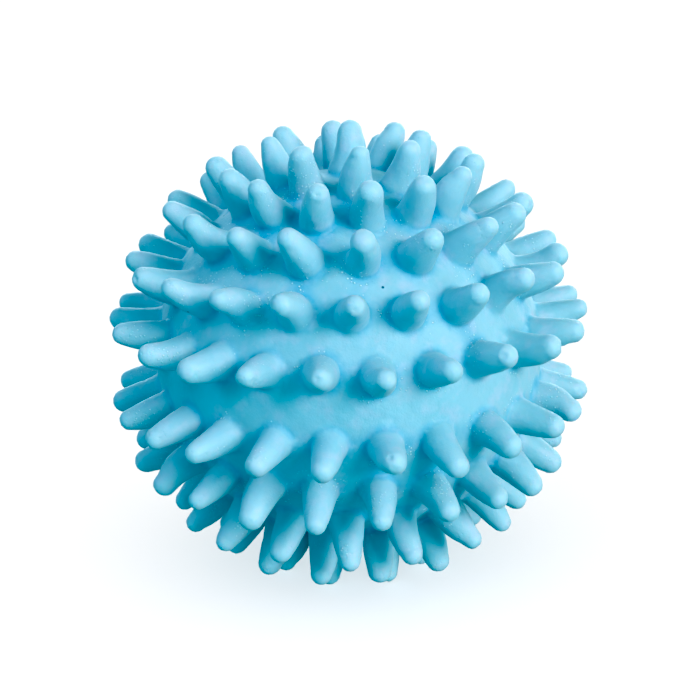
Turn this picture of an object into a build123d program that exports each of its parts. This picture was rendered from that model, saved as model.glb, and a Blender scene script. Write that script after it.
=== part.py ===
from build123d import *
from math import asin, atan2, cos, degrees, hypot, radians, sin, sqrt
import os

# Spiky massage ball: a hollow soft skin in two bonded halves, covered in rings of rounded
# spikes, with an air valve at the lower pole and a plug that pulls out of it.
# Millimetres. +Z is up, along the axis that the rings go round. The origin is on that axis
# at the level of the lowest spike tips, where the ball stands. The front faces -Y.
# Each sub-part is drawn about the ball's centre and lifted onto that level when it is saved.

# Skin
OVERALL_DIAMETER = 90.0        # of the round surface that the ends of the spikes touch
BODY_RADIUS = 36.0             # the skin without its spikes, at the equator
BODY_POLE_RADIUS = 34.2        # the same, up the axis
WALL = 2.4
LIP_HEIGHT = 2.6               # the lower half's lip, bonded inside the upper half
PAD_RADIUS = 5.0               # a thicker, flat spot inside the skin, behind the pole spike
PAD_THICKNESS = 0.8

# Spikes
TIP_RADIUS = 2.2
TIP_FLATTENING = 0.98          # height over width of the surface that the tips lie on
ROOT_RADIUS = 3.7              # where a spike leaves the skin
SEAT_DEPTH = 0.35              # how far a spike's flat foot is let into the skin
SEAT_CLEARANCE = 0.05          # round the foot
RING_LATITUDES = (10.5, 26.5, 42.5, 57.0, 71.0)
POLE = 90.0
UPPER_COUNTS = (23, 21, 17, 14, 8)
LOWER_COUNTS = (23, 21, 17, 13, 8)
UPPER_TURNS = (8.0, 1.0, 5.0, 10.5, 8.0)      # degrees from the front to a ring's first spike
LOWER_TURNS = (10.0, 8.0, -1.5, -13.0, -18.0)
HALVES = {"upper": (1, UPPER_COUNTS, UPPER_TURNS), "lower": (-1, LOWER_COUNTS, LOWER_TURNS)}

# Air valve, at the lower pole
NECK_RADIUS = 4.6              # the valve body where it fills the hole in the skin
FLANGE_RADIUS = 7.4            # bonded against the inside of the skin
FLANGE_THICKNESS = 1.3
SLEEVE_RADIUS = 3.2            # the part of the valve body that stands inside the ball
SLEEVE_TOP = -25.0
STEM_RADIUS = 1.6
STEM_LENGTH = 6.4
STEM_CLEARANCE = 0.06          # all round the stem, a running fit
STEM_END_ROUNDING = 0.9
HEAD_RADIUS = 2.9
HEAD_THICKNESS = 1.4
HEAD_EDGE_ROUNDING = 0.45
HEAD_CLEARANCE = 0.25          # round the head in its recess
HEAD_GAP = 0.05                # under the head
RECESS_DEPTH = 1.2

TIP_CENTRE_RADIUS = OVERALL_DIAMETER / 2 - TIP_RADIUS
LOWEST_TIP_CENTRE = TIP_CENTRE_RADIUS * TIP_FLATTENING * sin(radians(RING_LATITUDES[-1]))
CENTRE_HEIGHT = LOWEST_TIP_CENTRE + TIP_RADIUS
VALVE_FACE = -BODY_POLE_RADIUS * sqrt(1 - (NECK_RADIUS / BODY_RADIUS) ** 2)
RECESS_FLOOR = VALVE_FACE + RECESS_DEPTH


def slab(width, low, high):
    """The part of the XZ plane with X from 0 to width, between two heights."""
    return Pos(width / 2, 0, (low + high) / 2) * (Plane.XZ * Rectangle(width, high - low))


def layer_between(outer, inner, low, high):
    """One side of the skin's section: two depths below its surface, and two heights."""
    return skin_layer(outer, inner) & slab(OVERALL_DIAMETER, low, high)


def skin_layer(outer, inner):
    """The section between two depths below the skin's surface."""
    far = Ellipse(BODY_RADIUS - outer, BODY_POLE_RADIUS - outer)
    near = Ellipse(BODY_RADIUS - inner, BODY_POLE_RADIUS - inner)
    return Plane.XZ * (far - near)


def upper_shell():
    """The upper half of the skin, with its pad and a rebate at its rim for the other's lip."""
    wall = layer_between(0, WALL, 0, OVERALL_DIAMETER)
    rebate = layer_between(WALL / 2, WALL, 0, LIP_HEIGHT)
    inside = BODY_POLE_RADIUS - WALL
    pad = slab(PAD_RADIUS, inside - PAD_THICKNESS, inside + PAD_THICKNESS)
    return revolve(wall - rebate + pad, Axis.Z)


def lower_shell():
    """The lower half of the skin, with its lip and a round hole for the valve."""
    wall = layer_between(0, WALL, -OVERALL_DIAMETER, 0)
    lip = layer_between(WALL / 2, WALL, 0, LIP_HEIGHT)
    hole = Pos(0, 0, -BODY_POLE_RADIUS) * Cylinder(NECK_RADIUS, 4 * WALL)
    return revolve(wall + lip, Axis.Z) - hole


def skin_reach(lean):
    """Distance from the centre to the skin's surface, in a direction a given lean above level."""
    return 1 / hypot(cos(radians(lean)) / BODY_RADIUS, sin(radians(lean)) / BODY_POLE_RADIUS)


def spike_line(latitude):
    """A spike's lean above level, and how far out its foot and its round tip's centre are."""
    out = TIP_CENTRE_RADIUS * cos(radians(latitude))
    up = TIP_CENTRE_RADIUS * TIP_FLATTENING * sin(radians(latitude))
    lean = degrees(atan2(up, out))
    return lean, skin_reach(lean) - SEAT_DEPTH, hypot(out, up)


def spike(latitude):
    """A tapered spike with a flat foot and a round tip, pointing straight out from the centre."""
    lean, foot, tip = spike_line(latitude)
    taper = asin((ROOT_RADIUS - TIP_RADIUS) / (tip - foot))
    heel = Vector(ROOT_RADIUS, foot)
    shoulder = Vector(TIP_RADIUS * cos(taper), tip + TIP_RADIUS * sin(taper))
    crown = Vector(TIP_RADIUS * sin(radians(40)), tip + TIP_RADIUS * cos(radians(40)))
    top = Vector(0, tip + TIP_RADIUS)
    outline = [Line(heel, shoulder), ThreePointArc(shoulder, crown, top), Polyline(top, (0, foot), heel)]
    return Rot(0, POLE - lean, 0) * revolve(Plane.XZ * make_face(outline), Axis.Z)


def seat(latitude):
    """The round hole with a flat floor that a spike's foot stands in."""
    lean, foot, tip = spike_line(latitude)
    hole = Cylinder(ROOT_RADIUS + SEAT_CLEARANCE, tip - foot, align=(Align.CENTER, Align.CENTER, Align.MIN))
    return Rot(0, POLE - lean, 0) * Pos(0, 0, foot) * hole


def ring(shape, count, turn):
    """Equal copies of a shape round the axis, the first one a given turn from the front."""
    return [Rot(0, 0, turn - 90 + 360 / count * i) * shape for i in range(count)]


def half_rings(half, make):
    """What make gives for each ring of the upper or lower half, from the pole outwards."""
    side, counts, turns = HALVES[half]
    rings = [ring(make(side * RING_LATITUDES[i]), counts[i], turns[i]) for i in range(len(counts))]
    return rings[::-1]


def seated(shell, seats):
    """The shell with its seats cut, a ring at a time."""
    for cutters in seats:
        shell = shell - cutters
    return shell


def valve_body():
    """A soft bush that fills the hole in the skin, with a flange and a sleeve inside."""
    neck = slab(NECK_RADIUS, VALVE_FACE, -BODY_POLE_RADIUS + WALL + FLANGE_THICKNESS)
    below = slab(FLANGE_RADIUS, -BODY_POLE_RADIUS, 0)
    flange = skin_layer(WALL, WALL + FLANGE_THICKNESS) & below
    sleeve = slab(SLEEVE_RADIUS, VALVE_FACE + RECESS_DEPTH, SLEEVE_TOP)
    bore = slab(STEM_RADIUS + STEM_CLEARANCE, VALVE_FACE, SLEEVE_TOP)
    recess = slab(HEAD_RADIUS + HEAD_CLEARANCE, VALVE_FACE, RECESS_FLOOR)
    return revolve(neck + flange + sleeve - bore - recess, Axis.Z)


def valve_plug():
    """The stopper: a stem in the valve's bore and a head in the recess, just proud of it."""
    head_top = RECESS_FLOOR - HEAD_GAP
    head = Pos(0, 0, head_top - HEAD_THICKNESS / 2) * Cylinder(HEAD_RADIUS, HEAD_THICKNESS)
    head = fillet(head.edges().sort_by(Axis.Z)[0], HEAD_EDGE_ROUNDING)
    stem = Pos(0, 0, head_top + STEM_LENGTH / 2) * Cylinder(STEM_RADIUS, STEM_LENGTH)
    stem = fillet(stem.edges().sort_by(Axis.Z)[-1], STEM_END_ROUNDING)
    return head + stem


def save(name, solids):
    """Lift a node's solids onto the level that the ball stands on, and write them."""
    lifted = [Pos(0, 0, CENTRE_HEIGHT) * solid for solid in solids]
    export_step(lifted[0] if len(lifted) == 1 else Compound(children=lifted), f"parts/{name}.step")


os.makedirs("parts", exist_ok=True)
save("upper_shell", [seated(upper_shell(), [[seat(POLE)]] + half_rings("upper", seat))])
save("lower_shell", [seated(lower_shell(), half_rings("lower", seat))])
save("upper_pole_spike", [spike(POLE)])
for half in HALVES:
    for number, spikes in enumerate(half_rings(half, spike)):
        save(f"{half}_spike_ring_{len(RING_LATITUDES) - number}", spikes)
save("valve_body", [valve_body()])
save("valve_plug", [valve_plug()])
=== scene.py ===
import math
import random

import bmesh
import bpy
import numpy as np
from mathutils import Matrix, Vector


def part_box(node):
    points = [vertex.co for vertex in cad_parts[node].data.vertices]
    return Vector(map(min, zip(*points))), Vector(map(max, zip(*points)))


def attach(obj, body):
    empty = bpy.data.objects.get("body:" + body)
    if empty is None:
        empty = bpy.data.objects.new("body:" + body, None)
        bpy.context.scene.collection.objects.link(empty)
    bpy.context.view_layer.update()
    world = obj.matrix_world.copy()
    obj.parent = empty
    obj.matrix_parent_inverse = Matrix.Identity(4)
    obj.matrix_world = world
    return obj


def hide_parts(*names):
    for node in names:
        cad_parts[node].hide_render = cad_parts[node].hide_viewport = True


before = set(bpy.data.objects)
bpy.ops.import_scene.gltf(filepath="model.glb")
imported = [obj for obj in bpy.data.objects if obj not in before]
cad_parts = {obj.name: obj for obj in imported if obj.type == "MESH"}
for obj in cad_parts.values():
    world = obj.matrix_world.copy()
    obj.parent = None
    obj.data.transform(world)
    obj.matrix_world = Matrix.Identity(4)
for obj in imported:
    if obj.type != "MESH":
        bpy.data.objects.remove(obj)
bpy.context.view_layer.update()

import openvdb
from mathutils import Matrix, Vector

# Looks of the spiky massage ball. Metres, +Z up, the front faces -Y, the floor is at z = 0.
# The soft skin is one distance field about the ball's centre, in millimetres: a hollow
# spheroid with every spike blended into it and a hole for the valve, meshed in one piece.

MM = 0.001
RANDOM = random.Random(7)   # every draw below comes from it, always in the same order

# ---------------------------------------------------------------- sizes, in millimetres

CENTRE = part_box("upper_shell")[0].z / MM          # height of the ball's centre
BODY_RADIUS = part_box("upper_shell")[1].x / MM
BODY_POLE_RADIUS = 0.95 * BODY_RADIUS
WALL = 2.4
VALVE_HOLE_RADIUS = 4.62    # a hair wider than the CAD valve body's neck

ROOT_DEPTH = 1.0            # how far below the body's surface a spike's line begins
ROOT_RADIUS = 3.3
TIP_RADIUS = 2.0
TAPER = 0.78                # below 1 a spike is fuller in the middle than a cone
BLEND = 0.28                # how softly a spike's root flows into the body

LEAN = 0.5                  # how far a spike's tip strays sideways
BEND = 0.3                  # how far a spike's middle bows out
ROOT_LEAN = -0.2            # how much of its tip's lean the root takes
TIP_SPREAD = (0.92, 1.15)   # how thick tips and roots are, against their radii
ROOT_SPREAD = (0.95, 1.06)
LENGTH_SPREAD = (-0.2, 0.25)
EQUATOR_STRETCH = 0.55      # how much longer spikes are near the equator
POLE_SHRINK = 0.45          # how much shorter near the upper pole
FLOOR_GAP = 0.02            # how far the lowest tips stay above the floor

NICK_CLUSTERS = (0, 0, 0, 1, 1, 2)                # how many a spike may have
NICKS_IN_CLUSTER = (1, 2, 3, 4)
NICK_RADIUS = (0.5, 0.9)
NICK_AIM = (-0.2, 1.2)      # how much a cluster faces the way its spike points
NICK_TURN = 0.6             # and how much any other way
NICK_SCATTER = 0.45         # how far a cluster's nicks lie apart
NICK_STAND_OFF = (0.4, 0.75)                      # their centres' distance out, in radii
NICK_CLEARANCE = 0.1        # a centre nearer the spike could leave a closed hole in it

WAVES = ((23, 0.16), (13, 0.12), (7.5, 0.07))     # wavelengths and heights of the surface
PHASES = (0, 6.3)           # about one turn
GRID_MARGIN = 12            # from the body's surface to the edge of the grid
VOXEL = 0.4
ADAPTIVITY = 0.11           # larger leaves fewer, bigger faces where the skin is flat
NORMAL_STEP = 0.35          # how far each side of a point its slope is measured

CROWDING = (2.4, 0.8)       # how wide to look for rubber round a point, and from how far above
CREASE = (0.9, 0.5)         # the same, close to
REACH_SPAN = 0.25           # height over the body where reach is 1, in body radii
SIDE_GUIDE = (0.3, 0.2, 0.93)                     # a direction that few spikes point in


# ---------------------------------------------------------------- spikes, read from the frame

def islands(node):
    """The separate solids of a CAD node, each as an array of points in millimetres."""
    mesh = bmesh.new()
    mesh.from_mesh(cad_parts[node].data)
    bmesh.ops.remove_doubles(mesh, verts=mesh.verts, dist=1e-6)
    seen = set()
    found = []
    for start in mesh.verts:
        if start in seen:
            continue
        seen.add(start)
        group = [start]
        for vert in group:
            for edge in vert.link_edges:
                other = edge.other_vert(vert)
                if other not in seen:
                    seen.add(other)
                    group.append(other)
        found.append(np.array([v.co for v in group]) / MM)
    mesh.free()
    return found


def spike_ends(node):
    """The outermost point of each spike of a node, measured from the ball's centre."""
    centre = np.array([0.0, 0.0, CENTRE])
    ends = []
    for points in islands(node):
        arms = points - centre
        ends.append(arms[np.argmax((arms ** 2).sum(1))])
    return sorted(ends, key=lambda end: math.atan2(end[1], end[0]))


def spike_line(end):
    """A spike's root, tip centre, bend and radii, each a little different from its neighbours."""
    length = np.linalg.norm(end)
    along = end / length
    side = np.cross(along, SIDE_GUIDE if abs(along[2]) < 0.9 else (1, 0, 0))
    side /= np.linalg.norm(side)
    across = np.cross(along, side)
    lean = side * RANDOM.gauss(0, LEAN) + across * RANDOM.gauss(0, LEAN)
    bend = side * RANDOM.gauss(0, BEND) + across * RANDOM.gauss(0, BEND)
    tip_radius = TIP_RADIUS * RANDOM.uniform(*TIP_SPREAD)
    root_radius = ROOT_RADIUS * RANDOM.uniform(*ROOT_SPREAD)
    steepness = along[2] * along[2]
    stretch = EQUATOR_STRETCH * (1 - steepness) - (POLE_SHRINK * steepness if along[2] > 0 else 0)
    reach = length - tip_radius + stretch + RANDOM.uniform(*LENGTH_SPREAD)
    tip = along * reach + lean
    tip[2] = max(tip[2], tip_radius - CENTRE + FLOOR_GAP)
    root = along * (BODY_RADIUS - ROOT_DEPTH) + lean * ROOT_LEAN
    return root, tip, bend, root_radius, tip_radius


def nicks(line):
    """Small hollows left by air bubbles near a spike's end: centres and radii."""
    root, tip, _, _, tip_radius = line
    along = (tip - root) / np.linalg.norm(tip - root)
    found = []
    for _ in range(RANDOM.choice(NICK_CLUSTERS)):
        aim = along * RANDOM.uniform(*NICK_AIM) + [RANDOM.gauss(0, NICK_TURN) for _ in range(3)]
        aim /= np.linalg.norm(aim)
        for _ in range(RANDOM.choice(NICKS_IN_CLUSTER)):
            radius = RANDOM.uniform(*NICK_RADIUS)
            drift = np.array([RANDOM.gauss(0, NICK_SCATTER) for _ in range(3)])
            out = tip_radius + radius * RANDOM.uniform(*NICK_STAND_OFF)
            centre = tip + aim * out + drift - aim * drift.dot(aim)
            if spike_distance(*centre, line) > NICK_CLEARANCE:
                found.append((centre, radius))
    return found


# ---------------------------------------------------------------- the skin as a distance field

def body_distance(x, y, z):
    """Distance from the bare body, negative inside."""
    ratio = BODY_RADIUS / BODY_POLE_RADIUS
    near = np.sqrt(x * x + y * y + (z * ratio) ** 2)
    slope = np.sqrt(x * x + y * y + (z * ratio * ratio) ** 2)
    return near * (near - BODY_RADIUS) / np.maximum(slope, 1e-3)


def spike_distance(x, y, z, line):
    """Distance from one spike: a bent, tapered finger with a round end."""
    root, tip, bend, root_radius, tip_radius = line
    axis = tip - root
    reach = (axis ** 2).sum()
    t = ((x - root[0]) * axis[0] + (y - root[1]) * axis[1] + (z - root[2]) * axis[2]) / reach
    t = np.clip(t, 0, 1)
    bow = 4 * t * (1 - t)
    dx = x - root[0] - t * axis[0] - bow * bend[0]
    dy = y - root[1] - t * axis[1] - bow * bend[1]
    dz = z - root[2] - t * axis[2] - bow * bend[2]
    radius = tip_radius + (root_radius - tip_radius) * (1 - t) ** TAPER
    return np.sqrt(dx * dx + dy * dy + dz * dz) - radius


def spread_out(along_x, along_y, along_z):
    """Three rows of numbers turned to lie along the three axes of a grid."""
    return along_x[:, None, None], along_y[None, :, None], along_z[None, None, :]


def block_round(first, last, ticks):
    """The part of the grid between two corners, as slices, and its points' x, y and z."""
    start = np.clip(np.floor((first - ticks[0]) / VOXEL).astype(int), 0, len(ticks))
    stop = np.clip(np.ceil((last - ticks[0]) / VOXEL).astype(int), 0, len(ticks))
    block = tuple(slice(a, b) for a, b in zip(start, stop))
    return block, spread_out(*(ticks[part] for part in block))


def unevenness(ticks):
    """Gentle waves of the moulded surface, in millimetres."""
    total = 0
    for wavelength, height in WAVES:
        phases = [RANDOM.uniform(*PHASES) for _ in range(3)]
        waves = [np.sin(ticks * 2 * math.pi / wavelength + phase) for phase in phases]
        wave_x, wave_y, wave_z = spread_out(*waves)
        total = total + height * wave_x * wave_y * wave_z
    return total


def skin_field(lines):
    """Grid of distances from the hollow skin, the distances from its outside, and its ticks."""
    half = 2 * int(math.ceil((BODY_RADIUS + GRID_MARGIN) / VOXEL / 2))
    low = -(half - 0.5) * VOXEL
    ticks = (low + VOXEL * np.arange(2 * half)).astype(np.float32)
    x, y, z = spread_out(ticks, ticks, ticks)
    body = body_distance(x, y, z)
    weight = np.exp(-body / BLEND)
    margin = ROOT_RADIUS + 8 * BLEND
    for line in lines:
        first, last = np.minimum(*line[:2]), np.maximum(*line[:2])
        block, local = block_round(first - margin, last + margin, ticks)
        weight[block] += np.exp(-spike_distance(*local, line) / BLEND)
    outside = -BLEND * np.log(weight) + unevenness(ticks).astype(np.float32)
    for centre, radius in (nick for line in lines for nick in nicks(line)):
        block, local = block_round(centre - radius - 1, centre + radius + 1, ticks)
        hollow = radius - np.sqrt(sum((local[i] - centre[i]) ** 2 for i in range(3)))
        outside[block] = np.maximum(outside[block], hollow)
    hole = np.where(z < 0, VALVE_HOLE_RADIUS - np.sqrt(x * x + y * y), -99)
    skin = np.maximum(np.maximum(outside, -body - WALL), hole)
    return skin, outside, ticks


def sampled(grid, ticks, points):
    """A grid's values at points between its nodes."""
    place = (points - ticks[0]) / VOXEL
    base = np.clip(np.floor(place).astype(int), 0, len(ticks) - 2)
    part = place - base
    total = np.zeros(len(points))
    for i in (0, 1):
        for j in (0, 1):
            for k in (0, 1):
                share = np.ones(len(points))
                for axis, step in enumerate((i, j, k)):
                    share *= part[:, axis] if step else 1 - part[:, axis]
                total += share * grid[base[:, 0] + i, base[:, 1] + j, base[:, 2] + k]
    return total


def smooth_normals(grid, ticks, points):
    """Directions straight out of the surface at its points."""
    slopes = []
    for axis in range(3):
        step = np.zeros(3)
        step[axis] = NORMAL_STEP
        slopes.append(sampled(grid, ticks, points + step) - sampled(grid, ticks, points - step))
    normals = np.stack(slopes, 1)
    return normals / np.maximum(np.linalg.norm(normals, axis=1), 1e-6)[:, None]


def blurred(grid, reach):
    """A grid averaged over cubes of a given half width, twice."""
    width = int(reach / VOXEL)
    for axis in (0, 1, 2, 0, 1, 2):
        total = np.cumsum(np.moveaxis(grid, axis, 0), axis=0, dtype=np.float32)
        mean = np.zeros_like(total)
        mean[width + 1:-width] = (total[2 * width + 1:] - total[:-2 * width - 1]) / (2 * width + 1)
        grid = np.moveaxis(mean, 0, axis)
    return grid


def skin_piece(name, lines):
    """The whole skin as one closed object, with what its material needs at each point:
    how much rubber is near and very near, and how far out the point is, from 0 to 1."""
    skin, outside, ticks = skin_field(lines)
    grid = openvdb.FloatGrid(3 * VOXEL)
    grid.copyFromArray(np.clip(skin, -3 * VOXEL, 3 * VOXEL))
    points, triangles, quads = grid.convertToPolygons(isovalue=0.0, adaptivity=ADAPTIVITY)
    points = points.astype(float) * VOXEL + ticks[0]
    normals = smooth_normals(skin, ticks, points)
    filled = (outside < 0).astype(np.float32)

    def rubber_near(width, above):
        return sampled(blurred(filled, width), ticks, points + above * normals)

    values = {
        "crowding": rubber_near(*CROWDING),
        "crease": rubber_near(*CREASE),
        "reach": np.clip(body_distance(*points.T) / (BODY_RADIUS * REACH_SPAN), 0, 1),
    }
    points[:, 2] = np.maximum(points[:, 2], -CENTRE)
    mesh = bpy.data.meshes.new(name)
    faces = [tuple(f) for f in triangles.tolist()] + [tuple(f) for f in quads.tolist()]
    mesh.from_pydata(((points + (0, 0, CENTRE)) * MM).tolist(), [], faces)
    for label, numbers in values.items():
        stored = mesh.attributes.new(label, "FLOAT", "POINT")
        stored.data.foreach_set("value", numbers.astype(np.float32))
    mesh.shade_smooth()
    mesh.normals_split_custom_set_from_vertices(normals.tolist())
    return placed(name, mesh)


def placed(name, data):
    """A new object in the scene."""
    thing = bpy.data.objects.new(name, data)
    bpy.context.scene.collection.objects.link(thing)
    return thing


# ---------------------------------------------------------------- materials

SKY = (0.21, 0.42, 0.53)                # the rubber's two main shades
SKY_LIGHT = (0.245, 0.44, 0.55)
PAINTED_HIGHLIGHT_END = (0.36, 0.52, 0.60)           # paler spike ends, a painted highlight
PAINTED_SHADE_GAP = (0.0, 0.25, 0.48)            # painted shade between crowded spikes
PAINTED_SHADE_CREASE = (0.02, 0.26, 0.46)        # painted shade where a spike meets the body
MOTTLE_TINT = (0.25, 0.49, 0.62)
BLOOM_TINT = (0.42, 0.47, 0.61)         # the dusty lilac film of soft vinyl
BUBBLE_TINT = (0.62, 0.86, 0.92)
PINHOLE_TINT = (0.01, 0.06, 0.14)
SHEEN_TINT = (0.85, 0.95, 1.0, 1)
BUSH_SHADES = (0.07, 0.36, 0.52), (0.09, 0.40, 0.55)
PLUG_SHADES = (0.78, 0.82, 0.83), (0.72, 0.78, 0.80)
FLOOR_WHITE = (0.92, 0.92, 0.92, 1)


class Finish:
    """A node material in the object's own millimetres, with short ways to add its nodes."""

    def __init__(self, name):
        self.material = bpy.data.materials.new(name)
        self.material.use_nodes = True
        self.nodes = self.material.node_tree.nodes
        self.links = self.material.node_tree.links
        self.shader = self.nodes["Principled BSDF"]

    def feed(self, socket, value):
        """Links a socket to another one's value, or sets it to a plain number."""
        if isinstance(value, bpy.types.NodeSocket):
            self.links.new(value, socket)
        else:
            socket.default_value = value

    def node(self, kind, output, **values):
        """One output of a new node, whose inputs are given by name with _ for spaces."""
        new = self.nodes.new(kind)
        for label, value in values.items():
            self.feed(new.inputs[label.replace("_", " ")], value)
        return new.outputs[output]

    def surface(self, **values):
        """Sets or links the shader's own sockets."""
        for label, value in values.items():
            self.feed(self.shader.inputs[label.replace("_", " ")], value)

    def millimetres(self):
        """Object coordinates, in millimetres."""
        place = self.nodes.new("ShaderNodeTexCoord")
        scale = self.nodes.new("ShaderNodeVectorMath")
        scale.operation = "SCALE"
        scale.inputs["Scale"].default_value = 1 / MM
        self.links.new(place.outputs["Object"], scale.inputs[0])
        return scale.outputs["Vector"]

    def noise(self, coords, scale, detail):
        """A cloudy value, with about scale clouds to a millimetre."""
        return self.node("ShaderNodeTexNoise", "Fac",
                         Vector=coords, Scale=scale, Detail=detail, Roughness=0.55)

    def cells(self, coords, scale):
        """Distance from the nearest of many scattered points, about scale to a millimetre."""
        return self.node("ShaderNodeTexVoronoi", "Distance", Vector=coords, Scale=scale)

    def stored(self, name):
        """A value stored at each point of the mesh."""
        node = self.nodes.new("ShaderNodeAttribute")
        node.attribute_name = name
        return node.outputs["Fac"]

    def remap(self, value, low, high, to_low=0, to_high=1):
        """A value carried from one range to another and held to its ends."""
        return self.node("ShaderNodeMapRange", "Result", Value=value,
                         From_Min=low, From_Max=high, To_Min=to_low, To_Max=to_high)

    def combined(self, operation, first, second):
        """Two values joined by a product or the like."""
        node = self.nodes.new("ShaderNodeMath")
        node.operation = operation
        self.feed(node.inputs[0], first)
        self.feed(node.inputs[1], second)
        return node.outputs["Value"]

    def mixed(self, factor, first, second):
        """Two colours, each a socket or a plain colour, mixed by a factor."""
        node = self.nodes.new("ShaderNodeMix")
        node.data_type = "RGBA"
        self.feed(node.inputs["Factor"], factor)
        for socket, colour in ((node.inputs[6], first), (node.inputs[7], second)):
            self.feed(socket, (*colour, 1) if isinstance(colour, tuple) else colour)
        return node.outputs[2]

    def bumped(self, height, strength, distance, below=None):
        """A bump of a height in millimetres, laid over another."""
        normal = {"Normal": below} if below else {}
        return self.node("ShaderNodeBump", "Normal",
                         Height=height, Strength=strength, Distance=distance * MM, **normal)


def skin_rubber():
    """Matte, slightly translucent sky-blue rubber, with a painted highlight on the spikes' ends
    and painted shade in the gaps between spikes and where they meet the body, with a fine grain,
    stray pinholes and clusters of tiny bubbles."""
    look = Finish("skin_rubber")
    coords = look.millimetres()
    crowding = look.stored("crowding")
    crease = look.stored("crease")
    reach = look.stored("reach")
    cloud = look.noise(coords, 0.09, 3)
    mottle = look.noise(coords, 0.7, 5)
    grain = look.noise(coords, 3.2, 3)
    bloom = look.noise(coords, 0.3, 4)

    colour = look.mixed(look.remap(cloud, 0.3, 0.7), SKY, SKY_LIGHT)
    # paler towards the spikes' ends: a painted highlight
    colour = look.mixed(look.remap(reach, 0.45, 1.0, 0, 0.6), colour, PAINTED_HIGHLIGHT_END)
    # darker, deeper blue where spikes crowd together: painted shade
    colour = look.mixed(look.remap(crowding, 0.40, 0.60, 0, 0.9), colour, PAINTED_SHADE_GAP)
    colour = look.mixed(look.remap(mottle, 0.45, 0.8, 0, 0.4), colour, MOTTLE_TINT)
    # darker in the crease round each spike's root: painted shade
    colour = look.mixed(look.remap(crease, 0.34, 0.54, 0, 0.75), colour, PAINTED_SHADE_CREASE)
    colour = look.mixed(look.remap(bloom, 0.5, 0.75, 0, 0.45), colour, BLOOM_TINT)

    # tiny pale bubbles, in patches, mostly in the shelter beside the spikes
    dots = look.remap(look.cells(coords, 1.35), 0.14, 0.26, 1, 0)
    patches = look.remap(look.noise(coords, 0.13, 2), 0.55, 0.6)
    crevices = look.remap(crowding, 0.36, 0.43)
    sides = look.remap(reach, 0.08, 0.2, 0, 0.55)
    bubbles = look.combined("MULTIPLY", dots, patches)
    bubbles = look.combined("MULTIPLY", bubbles, look.combined("MAXIMUM", crevices, sides))
    bubbles = look.combined("MULTIPLY", bubbles, look.remap(reach, 0.7, 0.95, 1, 0.2))
    colour = look.mixed(look.combined("MULTIPLY", bubbles, 0.75), colour, BUBBLE_TINT)

    # a few dark pinholes, and shallow pits in rough spots on the spikes' ends
    pinholes = look.remap(look.cells(coords, 0.1), 0.02, 0.03, 1, 0)
    colour = look.mixed(pinholes, colour, PINHOLE_TINT)
    pits = look.remap(look.cells(coords, 1.1), 0.1, 0.3, 1, 0)
    pits = look.combined("MULTIPLY", pits, look.remap(reach, 0.55, 0.85))
    pits = look.combined("MULTIPLY", pits, look.remap(look.noise(coords, 0.22, 2), 0.53, 0.57))

    normal = look.bumped(grain, 0.35, 0.15)
    normal = look.bumped(mottle, 0.35, 0.4, normal)
    normal = look.bumped(bubbles, 1.0, 0.2, normal)
    normal = look.bumped(look.combined("SUBTRACT", 1.0, pits), 0.5, 0.15, normal)
    roughness = look.remap(mottle, 0.2, 0.8, 0.50, 0.64)
    look.surface(Base_Color=colour, Normal=normal, Roughness=roughness,
                 Specular_IOR_Level=0.35, Subsurface_Weight=0.3,
                 Subsurface_Radius=(0.15, 0.7, 1.0), Subsurface_Scale=2.5 * MM,
                 Sheen_Weight=0.12, Sheen_Roughness=0.45, Sheen_Tint=SHEEN_TINT)
    return look.material


def plain_finish(name, colour, other, roughness, grain_scale):
    """A moulded finish for the valve's pieces: two close colours and a fine grain."""
    look = Finish(name)
    coords = look.millimetres()
    grain = look.noise(coords, grain_scale, 3)
    look.surface(Base_Color=look.mixed(look.noise(coords, 0.6, 4), colour, other),
                 Roughness=look.remap(grain, 0.3, 0.7, roughness - 0.05, roughness + 0.08),
                 Normal=look.bumped(grain, 0.2, 0.1))
    return look.material


# ---------------------------------------------------------------- stage, lights and camera

FLOOR_REACH = 6.0           # metres, as are the next three
BACKDROP_RADIUS = 5.9
CAMERA_DISTANCE = 0.3424
AIM = Vector((0.0002, 0, CENTRE * MM + 0.0001))
LENS = 93.3
LOOK_DOWN = math.radians(16.8)
ROLL = math.radians(-0.6)

# Each light's degrees right of the front and above the floor, strength, softness and colour.
BALL_LIGHTS = {
    "key": (42, 25, 4.0, 27, (1.0, 0.86, 0.80)),
    "side": (-75, 42, 1.2, 45, (0.9, 0.78, 0.95)),
    "fill": (-15, 8, 1.85, 170, (0.05, 0.76, 1.0)),
    "low": (48, 4, 0.8, 60, (0.5, 0.92, 1.0)),
    "back_left": (-170, 15, 2.1, 45, (0.7, 0.93, 1.0)),
    "back_right": (150, 15, 2.1, 45, (0.7, 0.93, 1.0)),
}
FLOOR_LIGHTS = {
    "sweep": (0, 60, 1.4, 110, (1, 1, 1)),
    "sweep_even": (0, 90, 2.3, 10, (1, 1, 1)),
}
WORLD_STRENGTH = 0.08
RED_BLACK_LEVEL = 0.10      # red up to this level turns black, which deepens the shadows' blue


def stage_floor():
    """A wide, plain, nearly white floor that bounces no light onto the ball."""
    mesh = bpy.data.meshes.new("floor")
    square = ((-1, -1), (1, -1), (1, 1), (-1, 1))
    corners = [(FLOOR_REACH * x, FLOOR_REACH * y, 0) for x, y in square]
    mesh.from_pydata(corners, [], [(0, 1, 2, 3)])
    look = Finish("floor_white")
    look.surface(Base_Color=FLOOR_WHITE, Roughness=0.9, Specular_IOR_Level=0.1)
    mesh.materials.append(look.material)
    floor = placed("floor", mesh)
    floor.visible_diffuse = False
    floor.visible_glossy = False
    return floor


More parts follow.
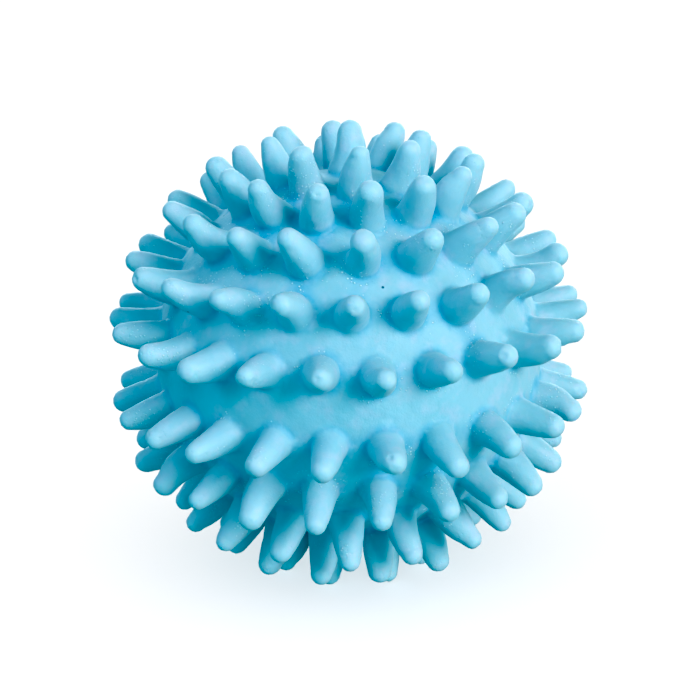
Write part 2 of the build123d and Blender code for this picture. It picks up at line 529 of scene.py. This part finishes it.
def stage_backdrop():
    """A far white dome above the floor, which only the camera sees."""
    dome = bmesh.new()
    bmesh.ops.create_uvsphere(dome, u_segments=64, v_segments=32, radius=BACKDROP_RADIUS)
    below = [vert for vert in dome.verts if vert.co.z < -0.01]
    bmesh.ops.delete(dome, geom=below, context="VERTS")
    mesh = bpy.data.meshes.new("backdrop")
    dome.to_mesh(mesh)
    dome.free()
    look = Finish("backdrop_white")
    look.surface(Base_Color=(0, 0, 0, 1), Specular_IOR_Level=0,
                 Emission_Color=(1, 1, 1, 1), Emission_Strength=1)
    mesh.materials.append(look.material)
    backdrop = placed("backdrop", mesh)
    backdrop.visible_diffuse = False
    backdrop.visible_glossy = False
    backdrop.visible_transmission = False
    backdrop.visible_shadow = False


def camera():
    """The camera looks slightly down at the ball's centre from the front."""
    data = bpy.data.cameras.new("camera")
    data.sensor_width = 36
    data.lens = LENS
    data.clip_start = 0.01
    thing = placed("camera", data)
    back = Vector((0, -math.cos(LOOK_DOWN), math.sin(LOOK_DOWN)))
    thing.location = AIM + CAMERA_DISTANCE * back
    aim = (AIM - thing.location).to_track_quat("-Z", "Y")
    thing.rotation_euler = (aim.to_matrix() @ Matrix.Rotation(ROLL, 3, "Z")).to_euler()
    bpy.context.scene.camera = thing


def suns(table, reached):
    """Far lights that reach only what a collection says."""
    for name, (right, up, strength, softness, colour) in table.items():
        data = bpy.data.lights.new(name, "SUN")
        data.energy = strength
        data.angle = math.radians(softness)
        data.color = colour
        turn, tilt = math.radians(right), math.radians(up)
        level = math.cos(tilt)
        towards = Vector((math.sin(turn) * level, -math.cos(turn) * level, math.sin(tilt)))
        light = placed(name, data)
        light.rotation_euler = towards.to_track_quat("Z", "Y").to_euler()
        light.light_linking.receiver_collection = reached


def floor_only(floor, state):
    """A collection that makes a light reach only the floor, or everything but the floor."""
    group = bpy.data.collections.new(f"floor_{state.lower()}")
    group.objects.link(floor)
    group.collection_objects[0].light_linking.link_state = state
    return group


def lights(floor):
    """A soft key from the right front with a low light under it, a cyan fill, a weak light from
    the upper left, two from behind, and an evenly lit floor."""
    suns(BALL_LIGHTS, floor_only(floor, "EXCLUDE"))
    suns(FLOOR_LIGHTS, floor_only(floor, "INCLUDE"))
    bpy.data.lights["sweep_even"].use_shadow = False
    world = bpy.data.worlds.new("surroundings")
    world.use_nodes = True
    background = world.node_tree.nodes["Background"]
    background.inputs["Color"].default_value = (1, 1, 1, 1)
    background.inputs["Strength"].default_value = WORLD_STRENGTH
    bpy.context.scene.world = world
    view = bpy.context.scene.view_settings
    view.view_transform = "Standard"
    view.use_curve_mapping = True
    view.curve_mapping.curves[0].points[0].location = (RED_BLACK_LEVEL, 0)
    view.curve_mapping.update()


# ---------------------------------------------------------------- the ball

rings = sorted(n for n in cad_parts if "spike" in n)
skin = skin_piece("spiky_skin", [spike_line(end) for node in rings for end in spike_ends(node)])
skin.data.materials.append(skin_rubber())
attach(skin, "ball")
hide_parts("upper_shell", "lower_shell", *rings)

bush = plain_finish("valve_bush_rubber", *BUSH_SHADES, 0.5, 4.0)
stopper = plain_finish("valve_plug_plastic", *PLUG_SHADES, 0.35, 2.5)
for node, material in (("valve_body", bush), ("valve_plug", stopper)):
    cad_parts[node].data.materials.clear()
    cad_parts[node].data.materials.append(material)

camera()
lights(stage_floor())
stage_backdrop()

bpy.context.view_layer.update()
